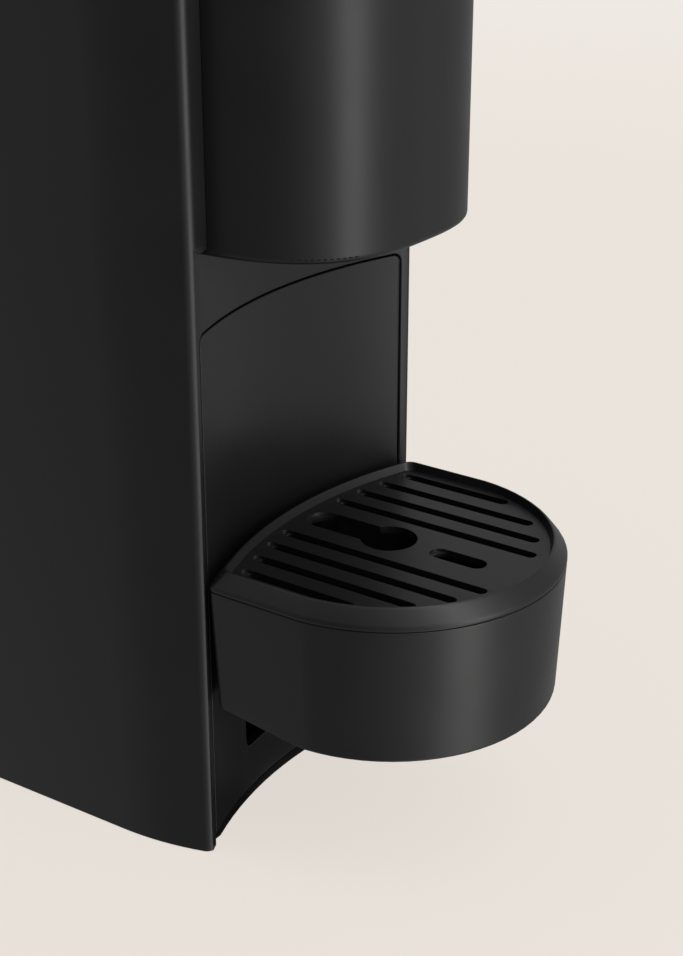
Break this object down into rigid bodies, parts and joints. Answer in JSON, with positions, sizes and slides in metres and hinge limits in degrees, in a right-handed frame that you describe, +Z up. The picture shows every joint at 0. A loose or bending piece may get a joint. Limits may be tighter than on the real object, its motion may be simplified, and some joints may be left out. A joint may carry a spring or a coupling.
{
  "type": "pod coffee machine",
  "caption": "Compact capsule coffee machine with a top lever, round front head, pull-out capsule container, hook-on drip tray with slotted grid, and lift-off rear water tank.",
  "frame": {"origin": "centre of the footprint at table level, halfway between the drip tray's nose and the back of the water tank", "axes": "+Z up, -Y towards the user (the spout and the drip tray side), +X to the user's right when facing the machine"},
  "size_m": [0.112, 0.3308, 0.262],
  "materials": {
    "casing": "satin black moulded plastic, fine texture",
    "cover": "satin black moulded plastic, fine texture",
    "tray": "satin black moulded plastic, fine texture",
    "base": "matt black moulded plastic",
    "foot_rubber": "matt black rubber",
    "bin": "matt dark grey plastic",
    "tank": "clear smoked plastic",
    "lever_metal": "brushed steel plate",
    "steel": "bright steel",
    "inner_plastic": "dark grey glass-filled plastic",
    "frame_plastic": "grey moulded plastic",
    "pump_plastic": "natural nylon",
    "coil": "grey lacquered steel",
    "heater": "die-cast",
    "ceramic": "off-white ceramic",
    "hose": "translucent silicone",
    "seal": "red-brown silicone",
    "board": "green solder mask",
    "switch": "black plastic",
    "button": "satin dark grey",
    "filter_mesh": "white plastic with fine mesh"
  },
  "bodies": {
    "machine": {"main_casing": "casing", "head_shell": "casing", "top_cover": "cover", "base_plate": "base", "rubber_feet": "foot_rubber", "base_screws": "steel", "rear_panel": "base", "tank_dock": "casing", "dock_seal": "seal", "cord_gland": "foot_rubber", "drawer_frame": "frame_plastic", "brew_housing": "inner_plastic", "extraction_plate": "steel", "coffee_outlet": "inner_plastic", "housing_screws": "steel", "inlet_tube": "steel", "pivot_pins": "steel", "pump_body": "pump_plastic", "pump_coil": "coil", "pump_mounts": "foot_rubber", "thermoblock": "heater", "thermostats": "ceramic", "flow_meter": "filter_mesh", "suction_hose": "hose", "feed_hose": "hose", "pressure_hose": "hose", "brew_hose": "hose", "control_board": "board", "button_switches": "switch", "small_button_spring": "steel", "large_button_spring": "steel"},
    "lever": {"lever_handle": "cover", "lever_arms": "lever_metal"},
    "piston": {"brew_piston": "inner_plastic", "piston_pins": "steel", "injector_plate": "steel", "piston_gasket": "seal"},
    "button_small": {"small_button": "button"},
    "button_large": {"large_button": "button"},
    "container": {"container_front": "casing", "capsule_bin": "bin"},
    "tray": {"drip_tray": "tray"},
    "grid": {"drip_grid": "tray"},
    "tank": {"water_tank": "tank", "tank_filter": "filter_mesh", "valve_spring": "steel", "lid_pin": "steel"},
    "valve": {"tank_valve": "filter_mesh"},
    "lid": {"tank_lid": "cover"}
  },
  "joints": [
    {"name": "lever_hinge", "type": "hinge", "parent": "machine", "child": "lever", "pos_m": [0, 0.01, 0.202], "axis": [-1, 0, 0], "range_deg": [0, 70]},
    {"name": "piston_slide", "type": "slide", "parent": "machine", "child": "piston", "axis": [0, 1, 0], "range_m": [0, 0.0301]},
    {"name": "small_button_press", "type": "slide", "parent": "machine", "child": "button_small", "axis": [0, 0, -1], "range_m": [0, 0.0015], "stiffness_N_per_m": 300, "springref_m": -0.002, "deforming": ["small_button_spring"]},
    {"name": "large_button_press", "type": "slide", "parent": "machine", "child": "button_large", "axis": [0, 0, -1], "range_m": [0, 0.0015], "stiffness_N_per_m": 300, "springref_m": -0.002, "deforming": ["large_button_spring"]},
    {"name": "container_slide", "type": "slide", "parent": "machine", "child": "container", "axis": [0, -1, 0], "range_m": [0, 0.1]},
    {"name": "tray_slide", "type": "slide", "parent": "container", "child": "tray", "axis": [0, -1, 0], "range_m": [0, 0.04]},
    {"name": "grid_lift", "type": "slide", "parent": "tray", "child": "grid", "axis": [0, 0, 1], "range_m": [0, 0.03]},
    {"name": "tank_lift", "type": "slide", "parent": "machine", "child": "tank", "axis": [0, 0, 1], "range_m": [0, 0.12]},
    {"name": "valve_stroke", "type": "slide", "parent": "tank", "child": "valve", "axis": [0, 0, 1], "range_m": [-0.00301, 0], "deforming": ["valve_spring"]},
    {"name": "tank_lid_hinge", "type": "hinge", "parent": "tank", "child": "lid", "pos_m": [0, 0.1199, 0.2522], "axis": [1, 0, 0], "range_deg": [0, 85]}
  ],
  "couplings": [
    {"joint": "piston_slide", "follows": "lever_hinge", "m_per_rad": 0.024555},
    {"joint": "valve_stroke", "follows": "tank_lift", "ratio": -0.025}
  ]
}
